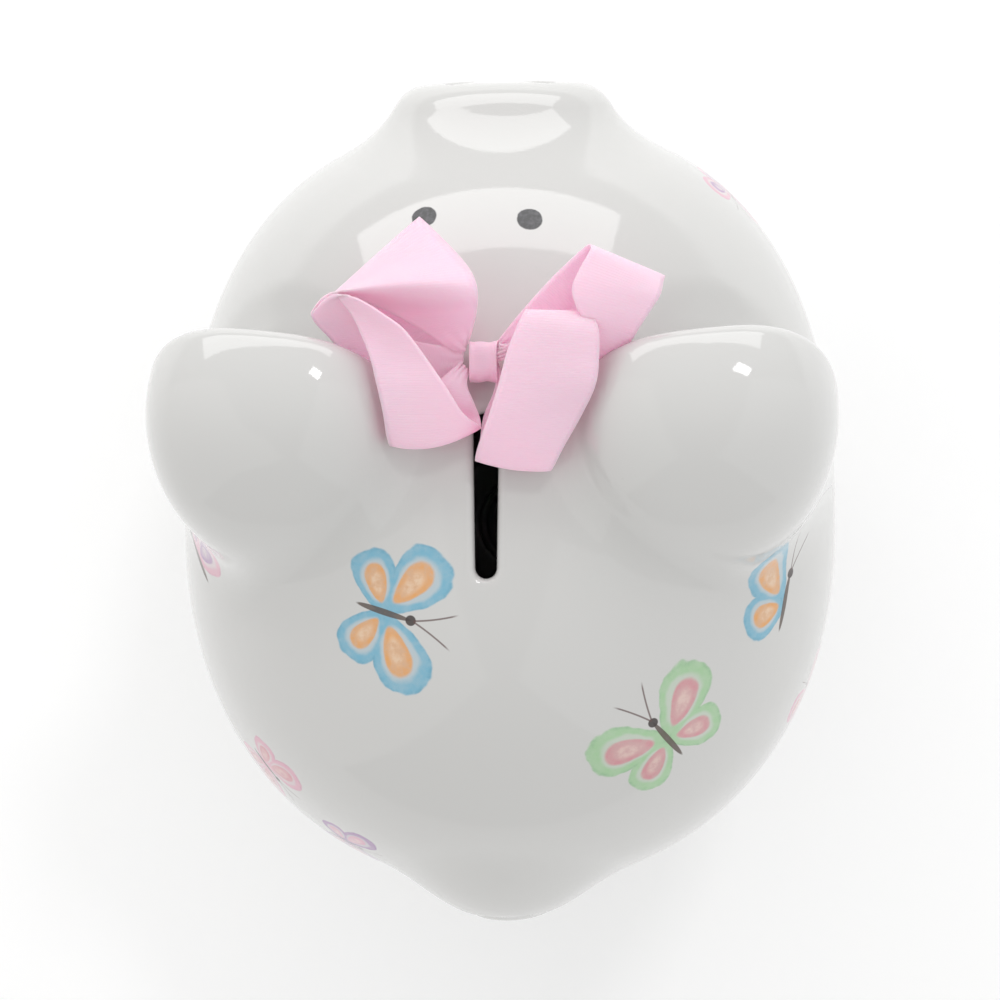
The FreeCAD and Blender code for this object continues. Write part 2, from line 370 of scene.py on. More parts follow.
def neighbour_mean(points, edges):
    """Average of the points that share an edge with each point."""
    total = np.zeros_like(points)
    np.add.at(total, edges[:, 0], points[edges[:, 1]])
    np.add.at(total, edges[:, 1], points[edges[:, 0]])
    count = np.bincount(edges.ravel(), minlength=len(points))
    return total / count[:, None]


def relax(field, points, edges, rounds):
    """Even out the spacing without leaving the surface."""
    for _ in range(rounds):
        points = points + 0.5 * (neighbour_mean(points, edges) - points)
        points = settle(field, points, 1)
    return settle(field, points)


def mesh_edges(mesh):
    """The two vertex numbers of each edge."""
    pairs = np.empty(len(mesh.edges) * 2, dtype=np.int32)
    mesh.edges.foreach_get("vertices", pairs)
    return pairs.reshape(-1, 2)


def mesh_points(mesh):
    """The places of the vertices."""
    flat = np.empty(len(mesh.vertices) * 3)
    mesh.vertices.foreach_get("co", flat)
    return flat.reshape(-1, 3)


def refine(mesh, wanted):
    """Split the edges whose two ends both satisfy wanted."""
    points = mesh_points(mesh)
    keep = wanted(points)
    work = bmesh.new()
    work.from_mesh(mesh)
    chosen = [e for e in work.edges if keep[e.verts[0].index] and keep[e.verts[1].index]]
    bmesh.ops.subdivide_edges(work, edges=chosen, cuts=1, use_grid_fill=True)
    bmesh.ops.triangulate(work, faces=[f for f in work.faces if len(f.verts) > 4])
    work.to_mesh(mesh)
    work.free()


def fine_zones(p):
    """Where the ceramic has small radii: slot, nostrils, ear rims and belly seat."""
    near_slot = (np.abs(p[:, 0]) < 7.5) & (np.abs(p[:, 1] + 1) < 25) & (p[:, 2] > BODY_Z + 70)
    near_disc = (p[:, 1] < SNOUT_TIP_Y + 8) & (np.abs(p[:, 2] - SNOUT_Z - 5) < 8)
    q = left_side(p)
    rim = np.abs(ear_mouth(q)) < 5
    rim &= (q[:, 0] > EAR_LOW[0] - 4) & (q[:, 2] > EAR_LOW[2]) & (ear_form(q, EAR_RADII) > -10)
    seat = (np.hypot(p[:, 0], p[:, 1] - HOLE_Y) < 20) & (p[:, 2] < 30)
    return near_slot | near_disc | rim | seat


GRID_STEP = 2.2
GRID_MARGIN = 4.0


def build_ceramic():
    """The glazed piece as one closed mesh with exact surface normals."""
    low = np.array([-HALF_WIDTH, SNOUT_TIP_Y, 0.0]) - GRID_MARGIN
    high = np.array([HALF_WIDTH, TAIL_HIGH[1], EAR_HIGH[2]]) + GRID_MARGIN
    values = grid_field(ceramic, low, high, GRID_STEP)
    points, faces = surface_net(values, low, GRID_STEP)
    mesh = bpy.data.meshes.new("glazed_ceramic")
    mesh.from_pydata(points.tolist(), [], faces.tolist())
    points = relax(ceramic, mesh_points(mesh), mesh_edges(mesh), 3)
    mesh.vertices.foreach_set("co", points.ravel())
    refine(mesh, fine_zones)
    points = relax(ceramic, mesh_points(mesh), mesh_edges(mesh), 2)
    normals = gradient(ceramic, points)[1]
    normals /= np.linalg.norm(normals, axis=1)[:, None]
    mesh.vertices.foreach_set("co", (points * MM).ravel())
    mesh.update()
    mesh.shade_smooth()
    mesh.normals_split_custom_set_from_vertices(normals.tolist())
    return mesh


def add_object(name, mesh):
    thing = bpy.data.objects.new(name, mesh)
    bpy.context.scene.collection.objects.link(thing)
    return thing


# ---- shading helpers --------------------------------------------------------------------
class Wire:
    """A number inside a node tree, so that shading formulas can be written as formulas."""

    def __init__(self, tree, socket):
        self.tree = tree
        self.socket = socket

    def math(self, operation, *others):
        node = self.tree.nodes.new("ShaderNodeMath")
        node.operation = operation
        for slot, value in zip(node.inputs, (self,) + others):
            if isinstance(value, Wire):
                self.tree.links.new(value.socket, slot)
            else:
                slot.default_value = value
        return Wire(self.tree, node.outputs[0])

    def __add__(self, other):
        return self.math("ADD", other)

    def __sub__(self, other):
        return self.math("SUBTRACT", other)

    def __mul__(self, other):
        return self.math("MULTIPLY", other)

    def __truediv__(self, other):
        return self.math("DIVIDE", other)

    def fade(self, start, end):
        """0 at start rising smoothly to 1 at end, or falling where end is lower."""
        node = self.tree.nodes.new("ShaderNodeMapRange")
        node.interpolation_type = "SMOOTHSTEP"
        node.clamp = True
        low, high = min(start, end), max(start, end)
        self.tree.links.new(self.socket, node.inputs["Value"])
        node.inputs["From Min"].default_value = low
        node.inputs["From Max"].default_value = high
        node.inputs["To Min"].default_value = 0.0 if start < end else 1.0
        node.inputs["To Max"].default_value = 1.0 if start < end else 0.0
        return Wire(self.tree, node.outputs[0])


class Paint:
    """A node material and short ways to add to it."""

    def __init__(self, name, colour, roughness):
        self.material = bpy.data.materials.new(name)
        self.material.use_nodes = True
        self.tree = self.material.node_tree
        self.bsdf = self.tree.nodes["Principled BSDF"]
        self.bsdf.inputs["Base Color"].default_value = (*colour, 1.0)
        self.bsdf.inputs["Roughness"].default_value = roughness
        self.position = self.tree.nodes.new("ShaderNodeTexCoord").outputs["Object"]

    def wire(self, socket):
        return Wire(self.tree, socket)

    def noise(self, scale, detail=3.0, vector=None, roughness=0.5):
        node = self.tree.nodes.new("ShaderNodeTexNoise")
        node.inputs["Scale"].default_value = scale
        node.inputs["Detail"].default_value = detail
        node.inputs["Roughness"].default_value = roughness
        self.tree.links.new(vector or self.position, node.inputs["Vector"])
        return self.wire(node.outputs[0])

    def split(self, vector):
        node = self.tree.nodes.new("ShaderNodeSeparateXYZ")
        self.tree.links.new(vector, node.inputs[0])
        return [self.wire(node.outputs[i]) for i in range(3)]

    def attribute(self, name, output="Color"):
        node = self.tree.nodes.new("ShaderNodeAttribute")
        node.attribute_name = name
        return node.outputs[output]

    def mix(self, amount, below, above):
        """Colour above laid over colour below."""
        node = self.tree.nodes.new("ShaderNodeMix")
        node.data_type = "RGBA"
        factor, a, b = node.inputs[0], node.inputs[6], node.inputs[7]
        if isinstance(amount, Wire):
            self.tree.links.new(amount.socket, factor)
        else:
            factor.default_value = amount
        for slot, value in ((a, below), (b, above)):
            if isinstance(value, tuple):
                slot.default_value = (*value, 1.0)
            else:
                self.tree.links.new(value, slot)
        return node.outputs[2]

    def bump(self, height, distance, strength=1.0, below=None):
        node = self.tree.nodes.new("ShaderNodeBump")
        node.inputs["Distance"].default_value = distance
        node.inputs["Strength"].default_value = strength
        self.tree.links.new(height.socket, node.inputs["Height"])
        if below:
            self.tree.links.new(below, node.inputs["Normal"])
        return node.outputs[0]

    def connect(self, socket, name):
        self.tree.links.new(socket.socket if isinstance(socket, Wire) else socket, self.bsdf.inputs[name])


# ---- painted butterflies ----------------------------------------------------------------
BLUE, ORANGE = (0.15, 0.44, 0.60), (0.80, 0.36, 0.09)
GREEN, ROSE = (0.36, 0.60, 0.33), (0.66, 0.28, 0.32)
MAUVE, PINK = (0.33, 0.16, 0.38), (0.72, 0.34, 0.45)

# Place near the skin and a point that the head is turned to, both in millimetres, then the
# length of a fore wing, its colours, and which wings show.
BUTTERFLIES = (
    ((24.9, 27.3, 173.4), (19.6, 28.9, 174.4), 20.3, BLUE, ORANGE, "open"),
    ((-43.7, 59.4, 155.8), (-40.9, 56.0, 159.1), 20.5, GREEN, ROSE, "open"),
    ((-73.0, 25.5, 141.5), (-74.0, 19.5, 141.5), 21.0, BLUE, ORANGE, "left"),
    ((79.5, 14.5, 136.0), (83.0, 4.5, 130.0), 23.0, PINK, MAUVE, "right"),
    ((62.0, 70.0, 129.5), (56.3, 76.6, 128.5), 14.5, PINK, ROSE, "open"),
    ((41.5, 90.4, 124.0), (33.5, 93.5, 124.6), 13.0, MAUVE, PINK, "open"),
    ((-82.0, 52.0, 108.0), (-80.6, 44.9, 120.0), 13.0, PINK, ROSE, "open"),
    ((-88.0, -22.0, 108.0), (-87.5, -34.0, 114.0), 16.0, GREEN, ORANGE, "open"),
    ((57.0, -82.0, 114.0), (65.0, -78.0, 122.0), 13.0, PINK, ROSE, "open"),
    ((-58.0, -82.0, 112.0), (-66.0, -78.0, 120.0), 13.0, PINK, MAUVE, "open"),
    ((89.0, -18.0, 92.0), (88.0, -28.0, 102.0), 19.0, BLUE, ORANGE, "open"),
    ((86.0, 38.0, 84.0), (86.0, 30.0, 95.0), 17.0, GREEN, ROSE, "open"),
    ((-88.0, 14.0, 76.0), (-88.0, 22.0, 90.0), 18.0, PINK, MAUVE, "open"),
    ((-72.0, 66.0, 62.0), (-74.0, 60.0, 74.0), 17.0, BLUE, ORANGE, "open"),
    ((40.0, 94.0, 70.0), (36.0, 94.0, 84.0), 16.0, BLUE, ORANGE, "open"),
    ((62.0, -72.0, 70.0), (66.0, -70.0, 84.0), 16.0, GREEN, ROSE, "open"),
    ((-60.0, -74.0, 70.0), (-52.0, -80.0, 80.0), 17.0, BLUE, ORANGE, "open"),
)
BUTTERFLY_REACH = 1.35   # how far its paint can go from its place, in fore wing lengths
FAR_OFF = 9.0            # flat coordinates where there is no butterfly


def paint_butterflies(mesh):
    """Give every face the flat coordinates and the colours of the butterfly it lies under."""
    corners = len(mesh.loops)
    vertex = np.empty(corners, dtype=np.int32)
    mesh.loops.foreach_get("vertex_index", vertex)
    sizes = np.empty(len(mesh.polygons), dtype=np.int32)
    mesh.polygons.foreach_get("loop_total", sizes)
    face = np.repeat(np.arange(len(sizes)), sizes)
    points = mesh_points(mesh) / MM
    centres = np.zeros((len(sizes), 3))
    np.add.at(centres, face, points[vertex])
    centres /= sizes[:, None]
    facing = np.empty(len(sizes) * 3)
    mesh.polygons.foreach_get("normal", facing)
    facing = facing.reshape(-1, 3)
    flat = np.full((corners, 2), FAR_OFF)
    rim = np.zeros((corners, 4))
    core = np.zeros((corners, 4))
    nearest = np.full(len(sizes), BUTTERFLY_REACH)
    for place, ahead, length, rim_colour, core_colour, wings in BUTTERFLIES:
        place = settle(ceramic, np.array([place], dtype=float), 20)
        normal = gradient(ceramic, place)[1][0]
        normal /= np.linalg.norm(normal)
        place = place[0]
        heading = np.array(ahead) - place
        heading -= normal * heading.dot(normal)
        heading /= np.linalg.norm(heading)
        right = np.cross(heading, normal) * (-1.0 if wings == "left" else 1.0)
        away = np.linalg.norm(centres - place, axis=1) / length
        under = (away < nearest) & (facing @ normal > 0.45)
        nearest[under] = away[under]
        chosen = under[face]
        local = (points[vertex[chosen]] - place) / length
        flat[chosen, 0] = local @ right
        flat[chosen, 1] = local @ heading
        rim[chosen] = (*rim_colour, 1.0)
        core[chosen] = (*core_colour, 1.0 if wings == "open" else 0.0)
    layer = mesh.uv_layers.new(name="butterfly")
    layer.data.foreach_set("uv", flat.ravel())
    for name, values in (("rim_paint", rim), ("core_paint", core)):
        colours = mesh.color_attributes.new(name, "FLOAT_COLOR", "CORNER")
        colours.data.foreach_set("color", values.ravel())


# A wing, or the patch of colour in its middle: its angle from the heading in degrees, then how far
# out its middle is, its half length and its half width in fore wing lengths.
FORE_WING = (58.0, 0.53, 0.50, 0.33)
HIND_WING = (120.0, 0.40, 0.38, 0.27)
FORE_PATCH = (60.0, 0.50, 0.33, 0.165)
HIND_PATCH = (120.0, 0.37, 0.25, 0.135)
BODY_BROWN, HEAD_BROWN, FEELER_BROWN = (0.085, 0.055, 0.04), (0.035, 0.022, 0.02), (0.10, 0.045, 0.04)
INK, CREAM = (0.03, 0.10, 0.16), (0.84, 0.78, 0.66)


def wing(across, along, angle, reach, half_length, half_width):
    """0 on a wing's middle line to 1 on its outline; the wing widens away from the body."""
    s, c = math.sin(math.radians(angle)), math.cos(math.radians(angle))
    out = (across * s + along * c - reach) / half_length
    side = (along * s - across * c) / half_width / (out * 0.38 + 1.0)
    return (out * out + side * side).math("SQRT")


def butterfly_layers(paint, white):
    """Watercolour butterflies over the white glaze."""
    uv = paint.tree.nodes.new("ShaderNodeUVMap")
    uv.uv_map = "butterfly"
    across, along, _ = paint.split(uv.outputs[0])
    both = paint.wire(paint.attribute("core_paint", "Alpha"))
    rim, core = paint.attribute("rim_paint"), paint.attribute("core_paint")
    wobble = (paint.noise(160.0, 2.0) - 0.5) * 0.34
    wash = paint.noise(420.0, 4.0, roughness=0.6)
    mirrored = across.math("ABSOLUTE")
    folded = mirrored * both + across * (both * -1.0 + 1.0)
    outline = wing(folded, along, *FORE_WING).math("MINIMUM", wing(folded, along, *HIND_WING)) + wobble
    heart = wing(folded, along, *FORE_PATCH).math("MINIMUM", wing(folded, along, *HIND_PATCH)) + wobble * 0.8
    thin = wash.fade(0.25, 0.75) * 0.3 + 0.7
    colour = paint.mix(outline.fade(1.06, 0.94) * 0.30, white, rim)
    band = outline.fade(1.03, 0.96) * outline.fade(0.60, 0.78) * thin
    colour = paint.mix(band * 0.92, colour, rim)
    edge = outline.fade(1.02, 0.99) * outline.fade(0.86, 0.97)
    colour = paint.mix(edge * wash.fade(0.35, 0.7) * 0.35, colour, paint.mix(0.45, rim, INK))
    colour = paint.mix(heart.fade(1.06, 0.88) * (thin * 0.95), colour, core)
    cream = heart.fade(0.75, 0.30) * wash.fade(0.30, 0.65)
    colour = paint.mix(cream * 0.5, colour, CREAM)
    body_across, body_along = mirrored / 0.040, (along + 0.02) / 0.36
    body = body_across * body_across + body_along * body_along
    colour = paint.mix(body.fade(1.15, 0.8) * 0.9, colour, BODY_BROWN)
    head_across, head_along = mirrored / 0.065, (along - 0.34) / 0.065
    head = head_across * head_across + head_along * head_along
    colour = paint.mix(head.fade(1.2, 0.8) * 0.95, colour, HEAD_BROWN)
    bend = (along - 0.36) * 0.30 + (along - 0.36) * (along - 0.36) * 0.25
    feeler = (mirrored - bend).math("ABSOLUTE")
    reach = along.fade(0.36, 0.39) * along.fade(0.90, 0.80)
    return paint.mix(feeler.fade(0.017, 0.006) * reach * 0.8, colour, FEELER_BROWN)


EYES = ((16.7, -70.6, 160.9), (-9.8, -69.5, 162.6))
EYE_RADIUS = 3.2
NOSTRIL_SHADE_RADIUS = 3.6


def dot_layer(paint, colour):
    """The colour with brushed charcoal eyes and charcoal in the nostril dimples as painted shade, and where
    these are.
    """
    x, y, z = paint.split(paint.position)
    ragged = (paint.noise(500.0, 2.0) - 0.5) * 0.16
    charcoal = paint.mix(paint.noise(900.0, 3.0).fade(0.35, 0.8), (0.022, 0.022, 0.025), (0.08, 0.08, 0.09))
    cover = x * 0.0
    dots = [(place, EYE_RADIUS, 0.97) for place in EYES]
    # The charcoal in the nostril dimples is painted shade of the hollows.
    dots += [((side * NOSTRIL[0], NOSTRIL[1], NOSTRIL[2]), NOSTRIL_SHADE_RADIUS, 0.75) for side in (-1, 1)]
    for place, radius, strength in dots:
        dx, dy, dz = x - place[0] * MM, y - place[1] * MM, z - place[2] * MM
        away = (dx * dx + dy * dy + dz * dz).math("SQRT") / (radius * MM) + ragged
        inside = away.fade(1.06, 0.94)
        cover = cover.math("MAXIMUM", inside)
        colour = paint.mix(inside * strength, colour, charcoal)
    return colour, cover


BARE_CLAY = (0.62, 0.56, 0.47)
GLAZE_ROUGHNESS = 0.07


def glaze_paint():
    """White glaze with the paintings under it; the rings that the feet stand on are unglazed."""
    paint = Paint("white_glaze", (0.64, 0.635, 0.62), GLAZE_ROUGHNESS)
    cloud = paint.noise(9.0, 2.0)
    white = paint.mix(cloud, (0.632, 0.628, 0.612), (0.660, 0.656, 0.645))
    speck = paint.noise(1500.0, 1.0).fade(0.80, 0.86)
    white = paint.mix(speck * 0.25, white, (0.45, 0.40, 0.34))
    colour = butterfly_layers(paint, white)
    colour, dots = dot_layer(paint, colour)
    foot_ring = paint.split(paint.position)[2].fade(0.0011, 0.0004)
    colour = paint.mix(foot_ring, colour, BARE_CLAY)
    paint.connect(colour, "Base Color")
    paint.connect(foot_ring * 0.6 + dots * 0.4 + GLAZE_ROUGHNESS, "Roughness")
    paint.bsdf.inputs["IOR"].default_value = 1.52
    paint.bsdf.inputs["Coat Weight"].default_value = 0.35
    paint.bsdf.inputs["Coat Roughness"].default_value = 0.03
    ripple = paint.noise(38.0, 1.0)
    normal = paint.bump(ripple, 0.0005, 0.10)
    paint.connect(paint.bump(paint.noise(700.0, 2.0), 0.00003, 0.35, normal), "Normal")
    return paint.material


ceramic_mesh = build_ceramic()
paint_butterflies(ceramic_mesh)
pig = add_object("glazed_ceramic", ceramic_mesh)
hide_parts("body_shell", "snout", "ear_left", "ear_right", "tail", *FOOT_NODES)
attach(pig, "bank")
ceramic_mesh.materials.append(glaze_paint())


# ---- ribbon bow -------------------------------------------------------------------------
RIBBON_WIDTH = 22.0
RIBBON_THICKNESS = 0.45
STEPS_ALONG = 7
STEPS_ACROSS = 14
PLEATS = 3
PLEAT_DEPTH = 0.45
PLEAT_START = 3.0        # from the middle of the knot
PLEAT_REACH = 9.0
RIB_PITCH = 0.62
THREAD_PITCH = 0.35

# Each lobe leaves the knot, makes a loop and comes back to it. Every station has the two
# edges of the ribbon in millimetres and how far its middle is bowed away from their mean.
BACK_LEFT = (
    ((3.8, -37.3, 184.0), (4.4, -35.3, 182.5), (0, 0, 0.4)),
    ((2.4, -39.9, 186.5), (7.6, -35.8, 182.0), (0, 0, -0.3)),
    ((1.4, -42.5, 189.5), (14.1, -40.1, 182.2), (0, 0, -1.5)),
    ((0.7, -45.0, 192.5), (22.7, -45.0, 184.0), (0, 0, -2.5)),
    ((0.3, -47.4, 194.5), (30.7, -48.0, 188.5), (0, 0, 0.5)),
    ((0.7, -50.4, 194.5), (34.7, -48.8, 190.5), (0, 0, 3.0)),
    ((2.8, -54.4, 192.0), (37.0, -48.2, 189.5), (0, 0, 4.0)),
    ((7.4, -59.8, 188.5), (39.7, -46.4, 186.0), (0, 0, 4.0)),
    ((14.6, -66.9, 184.0), (41.4, -44.3, 183.0), (0, 0, 2.5)),
    ((14.3, -65.9, 182.0), (40.1, -43.7, 181.0), (0, 0, 0.0)),
    ((9.9, -57.3, 178.0), (32.9, -42.4, 177.0), (0, 0, 0.0)),
    ((6.5, -46.9, 178.0), (20.7, -37.4, 177.5), (0, 0, 0.0)),
    ((4.4, -37.3, 180.5), (5.1, -35.0, 180.0), (0, 0, 0.0)),
)
BACK_RIGHT = (
    ((-3.2, -37.4, 182.0), (-3.4, -35.3, 181.5), (0, 0, 0.0)),
    ((-7.6, -42.9, 184.0), (-14.6, -36.9, 181.0), (0, 0, 0.0)),
    ((-14.9, -50.7, 186.5), (-25.8, -40.9, 181.0), (0, 0, 0.0)),
    ((-20.1, -55.6, 188.0), (-35.3, -47.4, 182.0), (0, 0, 0.0)),
    ((-24.7, -59.3, 190.0), (-42.4, -52.6, 184.0), (0, 0, 0.5)),
    ((-25.9, -58.4, 193.5), (-42.6, -51.1, 187.0), (0, 0, 1.0)),
    ((-23.7, -54.1, 195.0), (-41.9, -47.8, 189.5), (0, 0, 1.2)),
    ((-21.6, -49.0, 195.5), (-40.0, -44.7, 190.0), (0, 0, 1.2)),
    ((-22.7, -44.4, 194.5), (-37.2, -40.6, 189.0), (0, 0, 1.0)),
    ((-25.6, -38.5, 191.0), (-33.9, -36.3, 185.5), (0, 0, 0.6)),
    ((-19.6, -34.8, 187.0), (-25.4, -31.7, 183.5), (0, 0, 0.4)),
    ((-11.2, -35.5, 185.0), (-13.5, -32.7, 183.5), (0, 0, 0.4)),
    ((-3.8, -37.0, 184.5), (-3.8, -34.9, 183.5), (0, 0, 0.4)),
)
FRONT_RIGHT = (
    ((-3.3, -35.1, 184.0), (-3.3, -33.1, 183.0), (0, 0, 0.3)),
    ((-7.4, -37.7, 187.0), (-12.4, -35.0, 184.5), (0, 0, 0.3)),
    ((-9.5, -41.5, 191.5), (-22.7, -39.8, 188.5), (0, 0, 0.4)),
    ((-10.8, -44.1, 193.6), (-25.2, -43.8, 191.5), (0, 0, 0.6)),
    ((-9.3, -41.2, 195.4), (-27.6, -39.9, 193.6), (0, 0, 0.8)),
    ((-6.5, -34.3, 195.2), (-27.8, -33.6, 193.4), (0, 0, 0.8)),
    ((-4.3, -26.5, 193.6), (-27.1, -27.1, 193.0), (0, 0, 0.6)),
    ((-1.6, -18.7, 191.5), (-24.0, -20.6, 190.0), (0, 0, 0.6)),
    ((0.9, -12.7, 187.5), (-19.4, -12.7, 187.0), (0, 1.0, 0.6)),
    ((1.9, -9.5, 183.6), (-16.2, -7.1, 184.0), (0, 1.0, 0.3)),
    ((1.2, -11.5, 181.4), (-15.8, -10.0, 181.8), (0, 0, 0.0)),
    ((0.2, -19.6, 181.2), (-13.4, -19.1, 181.5), (0, 0, 0.0)),
    ((-2.7, -26.9, 181.8), (-8.7, -26.2, 182.0), (0, 0, 0.0)),
    ((-3.2, -33.4, 182.0), (-3.7, -31.4, 182.0), (0, 0, 0.0)),
)
FRONT_LEFT = (
    ((3.5, -30.7, 182.5), (5.3, -32.8, 183.5), (0, 0, 0.3)),
    ((3.8, -27.1, 184.5), (10.0, -28.4, 186.0), (0, 0, 1.2)),
    ((2.1, -23.0, 184.5), (16.1, -23.0, 185.5), (0, 0, 1.2)),
    ((0.8, -19.7, 183.5), (20.6, -17.2, 183.5), (0, 1.2, 0.4)),
    ((0.5, -17.3, 184.2), (22.0, -13.1, 184.0), (0, 2.4, 1.2)),
    ((0.9, -17.7, 187.0), (22.6, -15.2, 187.0), (0, 2.2, 1.0)),
    ((4.2, -20.4, 190.5), (23.2, -20.7, 189.5), (0, 0, 0.6)),
    ((8.3, -27.0, 193.5), (24.5, -27.0, 190.5), (0, 0, 0.0)),
    ((12.9, -33.6, 194.0), (26.1, -33.4, 190.5), (0, 0, -0.8)),
    ((17.5, -39.6, 194.8), (28.4, -39.1, 189.5), (0, 0, -0.8)),
    ((22.2, -43.1, 194.8), (30.3, -43.2, 189.5), (0, 0, -0.6)),
    ((27.0, -46.2, 194.0), (32.4, -46.2, 190.0), (0, 0, -0.2)),
    ((30.7, -47.8, 193.0), (34.9, -48.5, 190.5), (0, 0, 0.4)),
    ((33.2, -47.9, 189.5), (38.7, -46.0, 188.0), (0, 0, 0.8)),
    ((29.2, -44.9, 185.5), (40.8, -43.6, 185.0), (0, 0, 0.5)),
    ((23.0, -40.9, 182.0), (37.5, -39.3, 182.0), (0, 0, 0.0)),
    ((17.3, -38.3, 180.8), (30.1, -32.3, 179.5), (0, 0, 0.0)),
    ((10.1, -36.8, 181.0), (11.6, -27.8, 180.2), (0, 0, 0.8)),
    ((4.8, -35.3, 181.6), (5.0, -30.8, 181.4), (0, 0, 0.6)),
)


def smooth_rows(rows, steps):
    """Catmull-Rom curve through the rows of an array."""
    padded = np.concatenate([2 * rows[:1] - rows[1:2], rows, 2 * rows[-1:] - rows[-2:-1]])
    out = []
    for i in range(len(rows) - 1):
        a, b, c, d = padded[i:i + 4]
        for t in np.arange(steps) / steps:
            out.append(0.5 * (2 * b + (c - a) * t + (2 * a - 5 * b + 4 * c - d) * t ** 2
                              + (3 * b - a - 3 * c + d) * t ** 3))
    out.append(rows[-1])
    return np.array(out)


def ribbon_grid(stations):
    """Points along and across a lobe, with pleats where it is gathered at the knot."""
    rows = []
    for edge_a, edge_b, bow in stations:
        a, b = np.array(edge_a), np.array(edge_b)
        rows.append((a, (a + b) / 2 + np.array(bow), b))
    rows = smooth_rows(np.array(rows), STEPS_ALONG)
    t = (np.arange(STEPS_ACROSS + 1) / STEPS_ACROSS)[None, :, None]
    a, middle, b = rows[:, :1], rows[:, 1:2], rows[:, 2:]
    grid = a * (1 - t) * (1 - 2 * t) + middle * 4 * t * (1 - t) + b * t * (2 * t - 1)
    away = np.linalg.norm(rows[:, 1] - (KNOT_LOW + KNOT_HIGH) / 2, axis=1)
    slack = np.clip(1.0 - (away - PLEAT_START) / PLEAT_REACH, 0.0, 1.0)[:, None, None]
    normal = grid_normals(grid)
    return grid + normal * slack * PLEAT_DEPTH * np.sin(t * 2 * PLEATS * math.pi)


def grid_normals(grid):
    """Unit normals of a grid of points."""
    along = np.gradient(grid, axis=0)
    across = np.gradient(grid, axis=1)
    normal = np.cross(along, across)
    return normal / (np.linalg.norm(normal, axis=2)[..., None] + 1e-9)


def cloth_mesh(name, grids, thickness):
    """Closed thin sheets over the grids, with a map of lengths in millimetres for the weave."""
    points, faces, maps = [], [], []
    for grid in grids:
        rows, columns = grid.shape[:2]
        normal = grid_normals(grid) * thickness / 2
        base = len(points)
        points.extend((grid + normal).reshape(-1, 3))
        points.extend((grid - normal).reshape(-1, 3))
        along = np.zeros(rows)
        along[1:] = np.cumsum(np.linalg.norm(np.diff(grid.mean(axis=1), axis=0), axis=1))
        lengths = np.repeat(along[:, None], columns, axis=1)
        widths = np.repeat(np.linspace(0, RIBBON_WIDTH, columns)[None, :], rows, axis=0)
        both = np.stack([lengths, widths], axis=-1).reshape(-1, 2)
        maps.extend(both)
        maps.extend(both)
        under = rows * columns

        def at(i, j, side):
            return base + side * under + i * columns + j

        for i in range(rows - 1):
            for j in range(columns - 1):
                faces.append((at(i, j, 0), at(i + 1, j, 0), at(i + 1, j + 1, 0), at(i, j + 1, 0)))
                faces.append((at(i, j, 1), at(i, j + 1, 1), at(i + 1, j + 1, 1), at(i + 1, j, 1)))
            for j in (0, columns - 1):
                rim = (at(i, j, 0), at(i, j, 1), at(i + 1, j, 1), at(i + 1, j, 0))
                faces.append(rim if j == 0 else rim[::-1])
        for i in (0, rows - 1):
            for j in range(columns - 1):
                rim = (at(i, j, 0), at(i, j + 1, 0), at(i, j + 1, 1), at(i, j, 1))
                faces.append(rim if i == 0 else rim[::-1])
    mesh = bpy.data.meshes.new(name)
    mesh.from_pydata((np.array(points) * MM).tolist(), [], faces)
    layer = mesh.uv_layers.new(name="weave")
    vertex = np.empty(len(mesh.loops), dtype=np.int32)
    mesh.loops.foreach_get("vertex_index", vertex)
    layer.data.foreach_set("uv", np.array(maps)[vertex].ravel())
    mesh.update()
    mesh.shade_smooth()
    return mesh


def grosgrain(name, colour):
    """Ribbed satin ribbon: fine ribs across it and a firmer woven edge, with painted shade between the ribs
    and a faint painted glow.
    """
    paint = Paint(name, colour, 0.55)
    uv = paint.tree.nodes.new("ShaderNodeUVMap")
    uv.uv_map = "weave"
    along, across, _ = paint.split(uv.outputs[0])
    rib = (along * (2 * math.pi / RIB_PITCH)).math("SINE")
    thread = (across * (2 * math.pi / THREAD_PITCH)).math("SINE")
    edge = (across - RIBBON_WIDTH / 2).math("ABSOLUTE").fade(RIBBON_WIDTH / 2 - 0.8, RIBBON_WIDTH / 2 - 0.4)
    mottled = paint.noise(260.0, 3.0)
    # Darker between the ribs as painted shade in the grooves, and mottled at random.
    rib_shade_and_mottle_colour = tuple(c * f for c, f in zip(colour, (0.97, 0.88, 0.93)))
    tint = paint.mix(rib.fade(-1.0, 1.0) * 0.2 + mottled * 0.3 + 0.35, rib_shade_and_mottle_colour, colour)
    tint = paint.mix(edge * 0.25, tint, tuple(min(1.0, c * 1.08) for c in colour))
    paint.connect(tint, "Base Color")
    paint.bsdf.inputs["Subsurface Weight"].default_value = 0.6
    # A faint pink glow: painted light standing in for light shining through the ribbon.
    paint.bsdf.inputs["Emission Color"].default_value = (1.0, 0.45, 0.62, 1.0)
    paint.bsdf.inputs["Emission Strength"].default_value = 0.07
    paint.bsdf.inputs["Subsurface Radius"].default_value = (1.0, 0.45, 0.6)
    paint.bsdf.inputs["Subsurface Scale"].default_value = 0.003
    paint.bsdf.inputs["Sheen Weight"].default_value = 0.35
    paint.bsdf.inputs["Sheen Roughness"].default_value = 0.4
    paint.bsdf.inputs["Sheen Tint"].default_value = (1.0, 0.9, 0.95, 1.0)
    height = rib * (edge * -1.0 + 1.0) + thread * 0.25 + edge * 0.8
    paint.connect(paint.bump(height, 0.00004, 0.4), "Normal")
    return paint.material


PINK_RIBBON = grosgrain("pink_grosgrain", (0.97, 0.64, 0.76))
for name, lobes in (("bow_back_ribbon", (BACK_LEFT, BACK_RIGHT)),
                    ("bow_front_ribbon", (FRONT_LEFT, FRONT_RIGHT))):
    cloth = cloth_mesh(name, [ribbon_grid(lobe) for lobe in lobes], RIBBON_THICKNESS)
    cloth.materials.append(PINK_RIBBON)
    ribbon = add_object("cloth_" + name, cloth)
    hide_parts(name)
    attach(ribbon, "bank")


